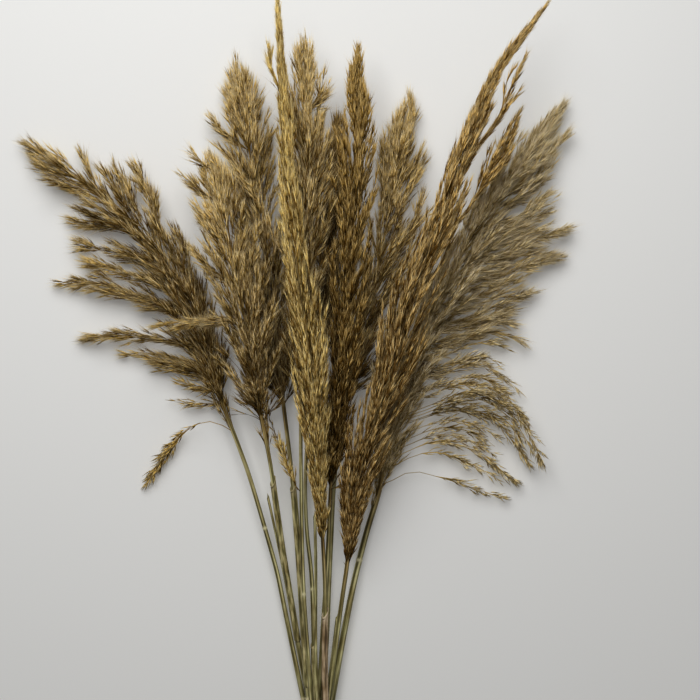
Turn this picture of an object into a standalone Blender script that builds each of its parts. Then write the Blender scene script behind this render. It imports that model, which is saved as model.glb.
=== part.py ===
"""A loose bundle of cut and dried plume grass, lying on a flat surface.

Ten plumed stalks and three broken culms lie over each other. They cross near their cut ends and fan
out towards their plumes. Everything is in metres: X runs across the fan, Y along the stalks towards
the plumes and Z up. Z = 0 is the surface, and the origin is the middle of the bundle's footprint.

Each plumed stalk is a culm, a plume on its end and, on some, loose sprigs and a leaf sheath. The
plumes and sprigs are soft, so they are closed solids of the right size and place.
"""

import math
from dataclasses import dataclass, field

import bmesh
import bpy
from mathutils import Vector
from mathutils.bvhtree import BVHTree

GAP = 0.0003              # clear space left between two pieces that touch
CULM_SIDES = 8
PLUME_SIDES = 10
SPRIG_SIDES = 6
CULM_STEP = 0.040         # length of culm between two rings of its mesh
PLUME_STEP = 0.026
SPRIG_STEP = 0.016
TIP_RADIUS = 0.0012       # plumes and sprigs end in a small flat
CURVE_STEPS = 40          # points worked out between two given points of a route
FINE_STEP = 0.002         # spacing of the fine route that a culm and its plume share
SPRIG_FINE_STEP = 0.0005
FINE_PER_POINT = 10       # fine points from one point to the next of the final routes
ROUGHNESS = 0.7
SPRIG_CLEAR = 0.0030      # a sprig's solid starts this far out of what it grows from
NODE_SWELL = 1.16         # a culm's joint is this much thicker than the culm
NODE_LENGTH = 0.0030
SHEATH_WALL = 0.0004
SHEATH_GAP = 0.0004       # a sheath wraps its culm this loosely

# Colours of dried grass: linear red, green, blue.
STRAW_GREEN = (0.20, 0.19, 0.085)
STRAW_PINK = (0.28, 0.20, 0.13)
OLIVE_BROWN = (0.17, 0.115, 0.05)
GOLDEN = (0.38, 0.26, 0.10)
RED_BROWN = (0.26, 0.15, 0.055)


@dataclass
class Sprig:
    """A side branch that stands clear of its plume: its route from the root, and half its width."""
    name: str
    route: tuple
    half_width: float = 0.008
    widest_at: float = 0.55
    on_culm: bool = False


@dataclass
class Stalk:
    """One culm with its plume. Routes are points from the cut end to the plume's tip."""
    name: str
    culm: tuple
    plume: tuple
    butt_width: float
    neck_width: float
    half_width: float
    half_height: float
    widest_at: float
    colour: tuple = OLIVE_BROWN
    nodes: tuple = ()
    sheath: tuple = ()
    sprigs: list = field(default_factory=list)


STALKS = [
    Stalk(
        name="far_left",
        culm=((-0.012, -0.465, 0.0050), (-0.0445, -0.322, 0.0052), (-0.071, -0.195, 0.010),
              (-0.096, -0.110, 0.015)),
        plume=((-0.117, -0.053, 0.018), (-0.136, 0.009, 0.0205), (-0.171, 0.082, 0.0202),
               (-0.225, 0.138, 0.020), (-0.299, 0.191, 0.012)),
        butt_width=0.0042, neck_width=0.0032, half_width=0.0265, half_height=0.0205, widest_at=0.52,
        nodes=(0.33, 0.72),
        sprigs=[
            Sprig("top_sprig", ((-0.168, 0.105, 0.024), (-0.186, 0.145, 0.022), (-0.203, 0.176, 0.016))),
            Sprig("upper_sprig", ((-0.212, 0.108, 0.018), (-0.238, 0.116, 0.013), (-0.262, 0.124, 0.008)),
                  0.006),
            Sprig("long_sprig", ((-0.184, 0.046, 0.018), (-0.227, 0.062, 0.014), (-0.270, 0.064, 0.009)),
                  0.009),
            Sprig("lower_sprig", ((-0.157, 0.006, 0.016), (-0.204, 0.014, 0.013), (-0.252, 0.010, 0.009)),
                  0.009),
            Sprig("low_sprig", ((-0.143, -0.020, 0.014), (-0.176, -0.010, 0.012), (-0.210, -0.003, 0.009)),
                  0.0075),
            Sprig("short_sprig", ((-0.127, -0.038, 0.014), (-0.148, -0.034, 0.012), (-0.167, -0.026, 0.008)),
                  0.0055),
            Sprig("last_sprig", ((-0.119, -0.050, 0.014), (-0.140, -0.050, 0.011), (-0.160, -0.048, 0.008)),
                  0.0035),
            Sprig("hanging_sprig", ((-0.106, -0.076, 0.018), (-0.128, -0.066, 0.024),
                                    (-0.146, -0.071, 0.016), (-0.161, -0.084, 0.010),
                                    (-0.176, -0.103, 0.008), (-0.190, -0.123, 0.006)),
                  0.0055, widest_at=0.80, on_culm=True),
        ],
    ),
    Stalk(
        name="left_behind",
        culm=((-0.006, -0.460, 0.0052), (-0.039, -0.322, 0.0054), (-0.061, -0.193, 0.017),
              (-0.073, -0.105, 0.027)),
        plume=((-0.080, -0.067, 0.032), (-0.089, 0.000, 0.053), (-0.099, 0.053, 0.062),
               (-0.109, 0.107, 0.060), (-0.127, 0.176, 0.047)),
        butt_width=0.0042, neck_width=0.0030, half_width=0.023, half_height=0.0145, widest_at=0.45,
        nodes=(0.55,), sheath=(0.48, 0.86),
        sprigs=[
            Sprig("top_sprig", ((-0.108, 0.139, 0.056), (-0.126, 0.163, 0.053), (-0.1415, 0.180, 0.048)),
                  0.0045),
            Sprig("upper_sprig", ((-0.104, 0.108, 0.058), (-0.123, 0.134, 0.055), (-0.152, 0.160, 0.048)),
                  0.0055),
            Sprig("side_sprig", ((-0.106, 0.080, 0.057), (-0.123, 0.104, 0.055), (-0.138, 0.133, 0.048)),
                  0.0055),
            Sprig("low_sprig", ((-0.102, 0.046, 0.057), (-0.122, 0.070, 0.055), (-0.143, 0.093, 0.048)),
                  0.0055),
            Sprig("pale_sprig", ((-0.098, 0.025, 0.060), (-0.134, 0.027, 0.062), (-0.172, 0.023, 0.056)),
                  0.0065),
        ],
    ),
    Stalk(
        name="left",
        culm=((-0.028, -0.458, 0.0215), (-0.038, -0.323, 0.0210), (-0.047, -0.195, 0.012),
              (-0.053, -0.122, 0.0125)),
        plume=((-0.061, -0.054, 0.014), (-0.068, 0.009, 0.018), (-0.079, 0.092, 0.020),
               (-0.091, 0.175, 0.020), (-0.105, 0.270, 0.012)),
        butt_width=0.0046, neck_width=0.0032, half_width=0.029, half_height=0.0180, widest_at=0.50,
        nodes=(0.33, 0.64), sheath=(0.36, 0.82),
        sprigs=[
            Sprig("side_sprig", ((-0.096, 0.175, 0.019), (-0.114, 0.199, 0.018), (-0.129, 0.221, 0.014)),
                  0.007),
        ],
    ),
    Stalk(
        name="front",
        culm=((-0.014, -0.465, 0.0215), (-0.022, -0.322, 0.0215), (-0.022, -0.233, 0.0225)),
        plume=((-0.024, -0.181, 0.028), (-0.029, -0.099, 0.054), (-0.034, -0.018, 0.080),
               (-0.045, 0.070, 0.090), (-0.054, 0.167, 0.088), (-0.064, 0.311, 0.070)),
        butt_width=0.0046, neck_width=0.0030, half_width=0.0165, half_height=0.0130, widest_at=0.36,
        colour=GOLDEN, nodes=(0.30,), sheath=(0.05, 0.78),
        sprigs=[
            Sprig("side_strand", ((-0.057, 0.200, 0.087), (-0.067, 0.240, 0.081), (-0.072, 0.270, 0.073)),
                  0.0020),
        ],
    ),
    Stalk(
        name="middle_left",
        culm=((-0.026, -0.457, 0.0275), (-0.035, -0.323, 0.0275), (-0.042, -0.221, 0.028),
              (-0.044, -0.137, 0.032)),
        plume=((-0.044, -0.045, 0.044), (-0.041, 0.045, 0.057), (-0.037, 0.134, 0.058),
               (-0.039, 0.215, 0.054), (-0.042, 0.288, 0.044)),
        butt_width=0.0036, neck_width=0.0028, half_width=0.0150, half_height=0.0150, widest_at=0.50,
        nodes=(0.56,),
        sprigs=[
            Sprig("top_sprig", ((-0.034, 0.198, 0.054), (-0.028, 0.226, 0.050), (-0.023, 0.251, 0.045)),
                  0.005),
            Sprig("golden_sprig", ((-0.044, -0.137, 0.034), (-0.058, -0.102, 0.037), (-0.075, -0.062, 0.016)),
                  0.0045, on_culm=True),
        ],
    ),
    Stalk(
        name="middle_back",
        culm=((-0.0215, -0.462, 0.0215), (-0.0305, -0.326, 0.0215), (-0.0325, -0.280, 0.0195),
              (-0.035, -0.214, 0.0115), (-0.041, -0.149, 0.0085)),
        plume=((-0.039, -0.083, 0.010), (-0.030, 0.009, 0.0155), (-0.018, 0.111, 0.0155),
               (-0.011, 0.215, 0.010)),
        butt_width=0.0044, neck_width=0.0028, half_width=0.0150, half_height=0.0140, widest_at=0.50,
        nodes=(0.63,), sheath=(0.06, 0.50),
    ),
    Stalk(
        name="middle",
        culm=((-0.042, -0.464, 0.0160), (-0.028, -0.316, 0.0160), (-0.025, -0.269, 0.0165),
              (-0.020, -0.194, 0.020)),
        plume=((-0.017, -0.129, 0.026), (-0.011, -0.063, 0.044), (-0.005, 0.009, 0.060),
               (0.001, 0.089, 0.062), (0.006, 0.179, 0.058), (0.008, 0.276, 0.044)),
        butt_width=0.0044, neck_width=0.0030, half_width=0.0125, half_height=0.0125, widest_at=0.58,
        colour=GOLDEN,
    ),
    Stalk(
        name="middle_right",
        culm=((-0.051, -0.463, 0.0105), (-0.026, -0.326, 0.0105), (-0.018, -0.196, 0.0095),
              (-0.014, -0.123, 0.010)),
        plume=((-0.005, -0.051, 0.014), (0.008, 0.009, 0.018), (0.024, 0.064, 0.0195),
               (0.038, 0.133, 0.019), (0.056, 0.233, 0.012)),
        butt_width=0.0056, neck_width=0.0034, half_width=0.0215, half_height=0.0175, widest_at=0.58,
        nodes=(0.35, 0.83),
        sprigs=[
            Sprig("side_sprig", ((0.044, 0.092, 0.019), (0.061, 0.118, 0.018), (0.067, 0.147, 0.014)),
                  0.0055),
        ],
    ),
    Stalk(
        name="right_front",
        culm=((-0.036, -0.464, 0.0160), (-0.018, -0.323, 0.0160), (-0.009, -0.251, 0.0165)),
        plume=((-0.002, -0.202, 0.021), (0.005, -0.136, 0.038), (0.020, -0.076, 0.054),
               (0.039, -0.018, 0.064), (0.053, 0.040, 0.071), (0.076, 0.097, 0.076), (0.105, 0.180, 0.075),
               (0.133, 0.249, 0.068), (0.177, 0.310, 0.060)),
        butt_width=0.0040, neck_width=0.0034, half_width=0.0215, half_height=0.0165, widest_at=0.34,
        colour=RED_BROWN, nodes=(0.40,),
        sprigs=[
            Sprig("upper_strand", ((0.102, 0.148, 0.076), (0.136, 0.215, 0.072), (0.158, 0.262, 0.064)),
                  0.0040),
            Sprig("lower_strand", ((0.088, 0.098, 0.072), (0.126, 0.158, 0.064), (0.155, 0.214, 0.056)),
                  0.0060),
        ],
    ),
    Stalk(
        name="far_right",
        culm=((-0.0385, -0.457, 0.0105), (-0.0155, -0.326, 0.0105), (-0.004, -0.262, 0.0095),
              (0.011, -0.191, 0.010)),
        plume=((0.028, -0.132, 0.014), (0.039, -0.073, 0.0185), (0.062, 0.000, 0.0199),
               (0.099, 0.078, 0.0199), (0.142, 0.147, 0.019), (0.199, 0.227, 0.013)),
        butt_width=0.0054, neck_width=0.0046, half_width=0.0250, half_height=0.0205, widest_at=0.48,
        nodes=(0.38, 0.80),
        sprigs=[
            Sprig("lowest_sprig", ((0.029, -0.129, 0.014), (0.057, -0.114, 0.012), (0.088, -0.120, 0.010),
                                   (0.143, -0.138, 0.007)), 0.0060, widest_at=0.75),
            Sprig("second_sprig", ((0.044, -0.099, 0.016), (0.083, -0.085, 0.013), (0.120, -0.096, 0.011),
                                   (0.157, -0.124, 0.008)), 0.0070, widest_at=0.70),
            Sprig("third_sprig", ((0.055, -0.068, 0.018), (0.100, -0.056, 0.014), (0.139, -0.069, 0.012),
                                  (0.168, -0.104, 0.009)), 0.0080, widest_at=0.65),
            Sprig("arched_sprig", ((0.064, -0.055, 0.032), (0.114, -0.038, 0.034), (0.157, -0.062, 0.029),
                                   (0.182, -0.108, 0.021)), 0.0080, widest_at=0.65),
            Sprig("fourth_sprig", ((0.083, -0.023, 0.018), (0.124, -0.012, 0.014), (0.158, -0.036, 0.010)),
                  0.008),
            Sprig("fifth_sprig", ((0.092, 0.005, 0.018), (0.132, 0.018, 0.014), (0.163, 0.008, 0.010)),
                  0.009),
            Sprig("sixth_sprig", ((0.110, 0.029, 0.018), (0.143, 0.044, 0.015), (0.172, 0.054, 0.010)),
                  0.009),
            Sprig("seventh_sprig", ((0.124, 0.060, 0.018), (0.158, 0.076, 0.016), (0.196, 0.088, 0.011)),
                  0.009),
            Sprig("eighth_sprig", ((0.140, 0.090, 0.020), (0.170, 0.104, 0.018), (0.207, 0.114, 0.013)),
                  0.008),
            Sprig("ninth_sprig", ((0.154, 0.117, 0.020), (0.174, 0.131, 0.018), (0.191, 0.141, 0.014)),
                  0.0065),
            Sprig("top_sprig", ((0.165, 0.150, 0.020), (0.187, 0.181, 0.018), (0.205, 0.205, 0.014)),
                  0.006),
        ],
    ),
]

# Culms broken off below their plume: name, route, width at the cut end, width at the broken top.
BROKEN_CULMS = (
    ("broken_culm_left", ((-0.014, -0.455, 0.0013), (-0.041, -0.322, 0.0013), (-0.062, -0.204, 0.012),
                          (-0.076, -0.136, 0.017)), 0.0024, 0.0020),
    ("broken_culm_middle", ((-0.021, -0.462, 0.0265), (-0.030, -0.325, 0.0260), (-0.031, -0.195, 0.019),
                            (-0.032, -0.152, 0.018)), 0.0028, 0.0024),
    ("broken_culm_right", ((-0.0436, -0.452, 0.0105), (-0.0208, -0.325, 0.0105), (-0.011, -0.250, 0.0110)),
     0.0028, 0.0024),
)


def smooth_route(points, step):
    """Points at even distances along a Catmull-Rom curve through the given points."""
    points = [Vector(point) for point in points]
    ends = [points[0] * 2 - points[1]] + points + [points[-1] * 2 - points[-2]]
    fine = []
    for before, start, end, after in zip(ends, ends[1:], ends[2:], ends[3:]):
        for index in range(CURVE_STEPS):
            t = index / CURVE_STEPS
            fine.append(0.5 * (2 * start + (end - before) * t
                               + (2 * before - 5 * start + 4 * end - after) * t ** 2
                               + (3 * start - before - 3 * end + after) * t ** 3))
    fine.append(points[-1])
    lengths = [0.0]
    for start, end in zip(fine, fine[1:]):
        lengths.append(lengths[-1] + (end - start).length)
    count = max(3, round(lengths[-1] / step))
    wanted = [lengths[-1] * index / count for index in range(count + 1)]
    return [point_at(fine, lengths, distance) for distance in wanted]


def point_at(fine, lengths, distance):
    """The point at this distance along a polyline whose running lengths are given."""
    for index in range(1, len(fine)):
        if lengths[index] >= distance - 1e-9:
            span = lengths[index] - lengths[index - 1]
            share = 0.0 if span == 0 else (distance - lengths[index - 1]) / span
            return fine[index - 1].lerp(fine[index], share)
    return fine[-1]


def length_along(route):
    """Running length at each point of a route."""
    lengths = [0.0]
    for start, end in zip(route, route[1:]):
        lengths.append(lengths[-1] + (end - start).length)
    return lengths


def directions(route):
    """Unit tangent at each point of a route."""
    tangents = []
    for index in range(len(route)):
        before = route[max(index - 1, 0)]
        after = route[min(index + 1, len(route) - 1)]
        tangents.append((after - before).normalized())
    return tangents


def ring_points(centre, tangent, half_width, half_height, sides):
    """A ring across the route: flat across the surface by half_width, and half_height upwards."""
    across = tangent.cross(Vector((0, 0, 1))).normalized()
    upwards = across.cross(tangent)
    points = []
    for side in range(sides):
        angle = math.tau * (side + 0.5) / sides
        points.append(centre + across * half_width * math.cos(angle)
                      + upwards * half_height * math.sin(angle))
    return points


def skin_rings(mesh, rings, inward=False):
    """Faces between neighbouring rings."""
    for near, far in zip(rings, rings[1:]):
        for index in range(len(near)):
            after = (index + 1) % len(near)
            corners = [near[index], near[after], far[after], far[index]]
            mesh.faces.new(reversed(corners) if inward else corners)


def add_object(name, mesh, colour):
    """Turn a bmesh into a named object with its own material."""
    bmesh.ops.recalc_face_normals(mesh, faces=mesh.faces)
    data = bpy.data.meshes.new(name)
    mesh.to_mesh(data)
    mesh.free()
    data.shade_smooth()
    piece = bpy.data.objects.new(name, data)
    bpy.context.scene.collection.objects.link(piece)
    material = bpy.data.materials.new(name)
    material.use_nodes = True
    shader = material.node_tree.nodes["Principled BSDF"]
    shader.inputs["Base Color"].default_value = (*colour, 1)
    shader.inputs["Roughness"].default_value = ROUGHNESS
    data.materials.append(material)
    return piece


def loft(name, route, widths, heights, sides, colour):
    """A closed solid around a route, with elliptical sections and flat ends."""
    mesh = bmesh.new()
    rings = []
    for centre, tangent, width, height in zip(route, directions(route), widths, heights):
        ring = ring_points(centre, tangent, width, height, sides)
        rings.append([mesh.verts.new(point) for point in ring])
    skin_rings(mesh, rings)
    mesh.faces.new(rings[0])
    mesh.faces.new(rings[-1])
    return add_object(name, mesh, colour)


def sleeve(name, route, radii, colour):
    """A thin-walled tube around a culm, open at both ends."""
    mesh = bmesh.new()
    outer = []
    inner = []
    for centre, tangent, radius in zip(route, directions(route), radii):
        inside = radius + SHEATH_GAP
        outside = inside + SHEATH_WALL
        inner.append([mesh.verts.new(p) for p in ring_points(centre, tangent, inside, inside, CULM_SIDES)])
        outer.append([mesh.verts.new(p) for p in ring_points(centre, tangent, outside, outside, CULM_SIDES)])
    skin_rings(mesh, outer)
    skin_rings(mesh, inner, inward=True)
    skin_rings(mesh, [inner[0], outer[0]])
    skin_rings(mesh, [outer[-1], inner[-1]])
    return add_object(name, mesh, colour)


def swelling(share, widest_at, start):
    """Half width of a plume at this share of its length, against its greatest: 1 at widest_at."""
    if share < widest_at:
        return start + (1 - start) * math.sin(0.5 * math.pi * share / widest_at)
    return math.cos(0.5 * math.pi * (share - widest_at) / (1 - widest_at)) ** 0.8


def culm_radius(share, butt_width, neck_width):
    """Radius of a culm that thins from its cut end to its neck."""
    return 0.5 * (butt_width + (neck_width - butt_width) * share)


def build_culm(name, route, butt_width, neck_width, nodes, colour):
    """A round culm with a raised ring at each node. Nodes are shares of its length."""
    lengths = length_along(route)
    total = lengths[-1]
    places = set(lengths)
    for node in nodes:
        places = {place for place in places if abs(place - node * total) > 3 * NODE_LENGTH}
        places |= {node * total + offset * NODE_LENGTH for offset in (-1, -0.3, 0.3, 1)}
    centres = [point_at(route, lengths, place) for place in sorted(places)]
    radii = []
    for place in sorted(places):
        radius = culm_radius(place / total, butt_width, neck_width)
        near_node = any(abs(place - node * total) < 0.5 * NODE_LENGTH for node in nodes)
        radii.append(radius * (NODE_SWELL if near_node else 1))
    return loft(name, centres, radii, radii, CULM_SIDES, colour)


def build_plume(name, route, neck_radius, stalk):
    """The soft body of a plume, widest part-way up and drawn to a point."""
    lengths = length_along(route)
    widths = []
    heights = []
    for place in lengths:
        share = place / lengths[-1]
        width = stalk.half_width * swelling(share, stalk.widest_at, neck_radius / stalk.half_width)
        height = stalk.half_height * swelling(share, stalk.widest_at, neck_radius / stalk.half_height)
        widths.append(max(width, TIP_RADIUS))
        heights.append(max(height, TIP_RADIUS))
    return loft(name, route, widths, heights, PLUME_SIDES, stalk.colour)


def tree_of(piece):
    """A search tree of a piece's faces."""
    mesh = bmesh.new()
    mesh.from_mesh(piece.data)
    tree = BVHTree.FromBMesh(mesh)
    mesh.free()
    return tree


def outside_by(tree, point):
    """How far a point lies outside a closed solid: negative inside."""
    nearest, normal, _, distance = tree.find_nearest(point)
    return distance if (point - nearest).dot(normal) > 0 else -distance


def build_sprig(owner, tree, sprig, colour):
    """A side branch, from where it comes out of its plume or culm to its tip."""
    fine = smooth_route(sprig.route, SPRIG_FINE_STEP)
    hidden = [index for index, point in enumerate(fine) if outside_by(tree, point) < SPRIG_CLEAR]
    start = max(hidden, default=-1)
    route = smooth_route(fine[start + 1::FINE_PER_POINT] + [fine[-1]], SPRIG_STEP)
    lengths = length_along(route)
    radii = []
    for place in lengths:
        swell = swelling(place / lengths[-1], sprig.widest_at, 0.0)
        radii.append(max(sprig.half_width * swell ** 1.5, 0.5 * TIP_RADIUS))
    return loft(f"{owner}_{sprig.name}", route, radii, radii, SPRIG_SIDES, colour)


def build_sheath(stalk, route):
    """The leaf sheath that still wraps part of a culm, given as shares of the culm's length."""
    lengths = length_along(route)
    first, last = (share * lengths[-1] for share in stalk.sheath)
    places = [first] + [length for length in lengths if first < length < last] + [last]
    centres = [point_at(route, lengths, place) for place in places]
    radii = [culm_radius(place / lengths[-1], stalk.butt_width, stalk.neck_width) for place in places]
    colour = STRAW_PINK if stalk.name == "front" else STRAW_GREEN
    return sleeve(f"sheath_{stalk.name}", centres, radii, colour)


def build_stalk(stalk):
    """A culm, its plume and what grows on them."""
    whole = smooth_route(stalk.culm + stalk.plume, FINE_STEP)
    base = min(range(len(whole)), key=lambda index: (whole[index] - Vector(stalk.plume[0])).length)
    neck = whole[base]
    upwards = (whole[base + 1] - whole[base - 1]).normalized()
    culm_route = smooth_route(whole[:base:FINE_PER_POINT] + [neck - upwards * GAP], CULM_STEP)
    above = whole[base + FINE_PER_POINT::FINE_PER_POINT]
    plume_route = smooth_route([neck] + above + [whole[-1]], PLUME_STEP)
    wrapped = stalk.sheath or (0, 0)
    nodes = [node for node in stalk.nodes if not wrapped[0] < node < wrapped[1]]
    culm = build_culm(f"culm_{stalk.name}", culm_route, stalk.butt_width, stalk.neck_width, nodes,
                      STRAW_GREEN)
    plume = build_plume(f"plume_{stalk.name}", plume_route, 0.5 * stalk.neck_width, stalk)
    if stalk.sheath:
        build_sheath(stalk, culm_route)
    for sprig in stalk.sprigs:
        grows_from = culm if sprig.on_culm else plume
        build_sprig(stalk.name, tree_of(grows_from), sprig, stalk.colour)


def set_down():
    """Move everything so that the box of the bundle stands on Z = 0 around the origin."""
    pieces = list(bpy.context.scene.objects)
    corners = [vertex.co for piece in pieces for vertex in piece.data.vertices]
    low = Vector(tuple(min(corner[axis] for corner in corners) for axis in range(3)))
    high = Vector(tuple(max(corner[axis] for corner in corners) for axis in range(3)))
    middle = (low + high) / 2
    for piece in pieces:
        piece.location = Vector((-middle.x, -middle.y, -low.z))
    bpy.context.view_layer.update()


def main():
    for old in list(bpy.data.objects):
        bpy.data.objects.remove(old, do_unlink=True)
    for stalk in STALKS:
        build_stalk(stalk)
    for name, route, butt_width, top_width in BROKEN_CULMS:
        build_culm(name, smooth_route(route, CULM_STEP), butt_width, top_width, (), STRAW_GREEN)
    set_down()


main()
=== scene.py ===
"""The looks of a lying bundle of dried plume grass.

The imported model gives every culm, sheath, plume and sprig as a plain closed solid. Here each of them is
grown anew along the middle of its solid. A plume is a rachis with many thin branches. A branch bears
branchlets, a branchlet bears spikelets (the narrow seed husks), and a spikelet a few silky hairs. A sprig
or strand is a side branch that stands clear of its plume, and it grows in the same way. A culm is a ribbed
tube with joints, and a sheath a papery tube with a slanting lip. Lengths are metres.
"""

import math
from dataclasses import dataclass, replace

import bpy
import numpy as np
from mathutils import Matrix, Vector
from mathutils.bvhtree import BVHTree


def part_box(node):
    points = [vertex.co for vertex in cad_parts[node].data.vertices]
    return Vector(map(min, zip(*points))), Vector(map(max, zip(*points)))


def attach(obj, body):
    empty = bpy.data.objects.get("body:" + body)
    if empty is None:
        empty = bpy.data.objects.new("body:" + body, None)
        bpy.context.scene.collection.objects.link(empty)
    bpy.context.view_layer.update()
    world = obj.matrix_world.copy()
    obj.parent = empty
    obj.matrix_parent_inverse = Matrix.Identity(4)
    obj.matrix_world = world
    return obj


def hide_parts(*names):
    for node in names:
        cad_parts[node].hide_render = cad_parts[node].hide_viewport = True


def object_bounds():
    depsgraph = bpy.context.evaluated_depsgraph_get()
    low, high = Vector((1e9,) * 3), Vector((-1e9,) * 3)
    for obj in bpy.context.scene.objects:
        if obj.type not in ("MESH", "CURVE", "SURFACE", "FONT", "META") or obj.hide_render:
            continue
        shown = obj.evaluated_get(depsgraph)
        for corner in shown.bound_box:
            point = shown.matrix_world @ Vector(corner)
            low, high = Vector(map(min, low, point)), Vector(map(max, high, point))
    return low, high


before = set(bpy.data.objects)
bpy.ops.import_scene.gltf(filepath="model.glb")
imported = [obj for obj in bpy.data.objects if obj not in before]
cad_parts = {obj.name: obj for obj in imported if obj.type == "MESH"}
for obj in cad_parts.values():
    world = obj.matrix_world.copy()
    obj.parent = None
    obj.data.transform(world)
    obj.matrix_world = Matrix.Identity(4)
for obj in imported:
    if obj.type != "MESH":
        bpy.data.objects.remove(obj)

cad_low, cad_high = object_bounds()

RING_REACH = 0.0065           # a culm's or plume's first ring lies within this distance of its start
SPRIG_RING_REACH = 0.0030
SPRIG_SIDES = 6               # points in each ring of a side branch's solid
SPRIG_ROOT_RADIUS = 0.0006
SPRIG_LEAVING = 0.78          # nearer to 1, a side branch leaves its rachis at a smaller angle
UPRIGHT_LEAVING = 0.95
UPRIGHT_SPRIGS = ("middle_right_side_sprig", "front_side_strand", "right_front_lower_strand",
                  "right_front_upper_strand")
CURVE_STEPS = 8               # points worked out from one row of a line to the next
THINNEST = 0.0001             # no half width or half height of a line is below this


# ---------------------------------------------------------------- reading the frame

def welded(mesh):
    """Points and edges of a mesh, joining the points that its file had split."""
    points = np.empty(3 * len(mesh.vertices), np.float32)
    mesh.vertices.foreach_get("co", points)
    edges = np.empty(2 * len(mesh.edges), np.int32)
    mesh.edges.foreach_get("vertices", edges)
    points, index = np.unique(points.reshape(-1, 3).round(6), axis=0, return_inverse=True)
    return points.astype(float), index.ravel()[edges.reshape(-1, 2)]


def rings_of(node, start, reach):
    """The rings of a lofted solid, as lists of points, beginning with the ring nearest to start."""
    points, edges = welded(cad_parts[node].data)
    nearest = points[np.linalg.norm(points - start, axis=1).argmin()]
    ring = np.linalg.norm(points - nearest, axis=1) < reach
    reached = ring.copy()
    rings = []
    while ring.any():
        rings.append(points[ring])
        ends = edges[ring[edges].any(axis=1)].ravel()
        ring = np.zeros(len(points), bool)
        ring[ends] = True
        ring &= ~reached
        reached |= ring
    return rings


def unit(vectors):
    """Vectors of length one along the last axis."""
    return vectors / np.maximum(np.linalg.norm(vectors, axis=-1, keepdims=True), 1e-12)


def curve_through(points):
    """A Catmull-Rom curve through rows of values."""
    points = np.asarray(points, float)
    ends = np.vstack([2 * points[0] - points[1], points, 2 * points[-1] - points[-2]])
    t = (np.arange(CURVE_STEPS) / CURVE_STEPS)[:, None]
    spans = []
    for before, start, end, after in zip(ends, ends[1:], ends[2:], ends[3:]):
        spans.append(0.5 * (2 * start + (end - before) * t
                            + (2 * before - 5 * start + 4 * end - after) * t ** 2
                            + (3 * start - before - 3 * end + after) * t ** 3))
    return np.vstack(spans + [points[-1:]])


class Line:
    """A smooth centre line with the half width and half height of its solid along it."""

    def __init__(self, rows):
        rows = curve_through(rows)
        self.points = rows[:, :3]
        self.widths = np.maximum(rows[:, 3], THINNEST)
        self.heights = np.maximum(rows[:, 4], THINNEST)
        steps = np.linalg.norm(np.diff(self.points, axis=0), axis=1)
        self.places = np.concatenate([[0], np.cumsum(steps)])
        self.length = self.places[-1]
        self.tangents = unit(np.gradient(self.points, self.places, axis=0))
        self.across = unit(np.cross(self.tangents, [0, 0, 1]))
        self.upwards = np.cross(self.across, self.tangents)

    def sample(self, values, places):
        """Values of this line's rows at the given places along it."""
        if values.ndim == 1:
            return np.interp(places, self.places, values)
        columns = [np.interp(places, self.places, values[:, axis]) for axis in range(values.shape[1])]
        return np.stack(columns, axis=-1)


def measured(rings):
    """Rows of centre, half width and half height for the rings of a solid."""
    centres = np.array([ring.mean(axis=0) for ring in rings])
    tangents = unit(np.gradient(centres, axis=0))
    across = unit(np.cross(tangents, [0, 0, 1]))
    upwards = np.cross(across, tangents)
    rows = []
    for ring, centre, sideways, lift in zip(rings, centres, across, upwards):
        width = math.sqrt(2 * np.mean(((ring - centre) @ sideways) ** 2))
        height = math.sqrt(2 * np.mean(((ring - centre) @ lift) ** 2))
        rows.append([*centre, width, height])
    return np.array(rows)


def culm_line(node):
    """A culm's line, from its cut end up."""
    points, _ = welded(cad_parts[node].data)
    return measured(rings_of(node, points[points[:, 1].argmin()], RING_REACH))


def plume_line(node, culm_rows):
    """A plume's line, from its neck on the culm to its tip."""
    return measured(rings_of(node, culm_rows[-1, :3], RING_REACH))


def tree_of(node):
    """A search tree of a CAD node's faces."""
    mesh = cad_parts[node].data
    return BVHTree.FromPolygons([v.co for v in mesh.vertices], [p.vertices for p in mesh.polygons])


def sprig_rings(node, start):
    """The six-sided rings of a side branch's solid, beginning with the ring nearest to start."""
    rings = rings_of(node, start, SPRIG_RING_REACH)
    if all(len(ring) == SPRIG_SIDES for ring in rings):
        return rings
    points, _ = welded(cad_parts[node].data)
    middle = points.mean(axis=0)
    axis = np.linalg.svd(points - middle)[2][0]
    outwards = axis * np.sign((middle - start) @ axis)
    return list(points[np.argsort(points @ outwards)].reshape(-1, SPRIG_SIDES, 3))


def sprig_line(node, owner, plume, culm_rows):
    """A side branch's line, from where it leaves its plume's rachis or its culm to its tip."""
    points, _ = welded(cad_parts[node].data)
    trees = [tree_of(f"plume_{owner}"), tree_of(f"culm_{owner}")]
    gaps = [min(tree.find_nearest(Vector(point))[3] for tree in trees) for point in points]
    rows = measured(sprig_rings(node, points[int(np.argmin(gaps))]))
    stem = np.vstack([curve_through(culm_rows)[:, :3], plume.points])
    back = unit(rows[0, :3] - rows[1, :3])
    offsets = stem - rows[0, :3]
    distances = np.linalg.norm(offsets, axis=1)
    along_back = offsets @ back
    leaving = UPRIGHT_LEAVING if node in UPRIGHT_SPRIGS else SPRIG_LEAVING
    root = stem[(distances - leaving * along_back).argmin()]
    return Line(np.vstack([[*root, SPRIG_ROOT_RADIUS, SPRIG_ROOT_RADIUS], rows]))


# ---------------------------------------------------------------- strands

FLOOR_CLEARANCE = 0.0006      # strands that would sink into the floor are bent to lie this far above it
FLOOR_RISE = 0.05             # and rise by this share of the depth that they would have sunk
BELLY = 0.38                  # how far up a spikelet is thickest
CORNER_TONE = 0.02            # difference in tone between the corners of a strand


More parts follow.
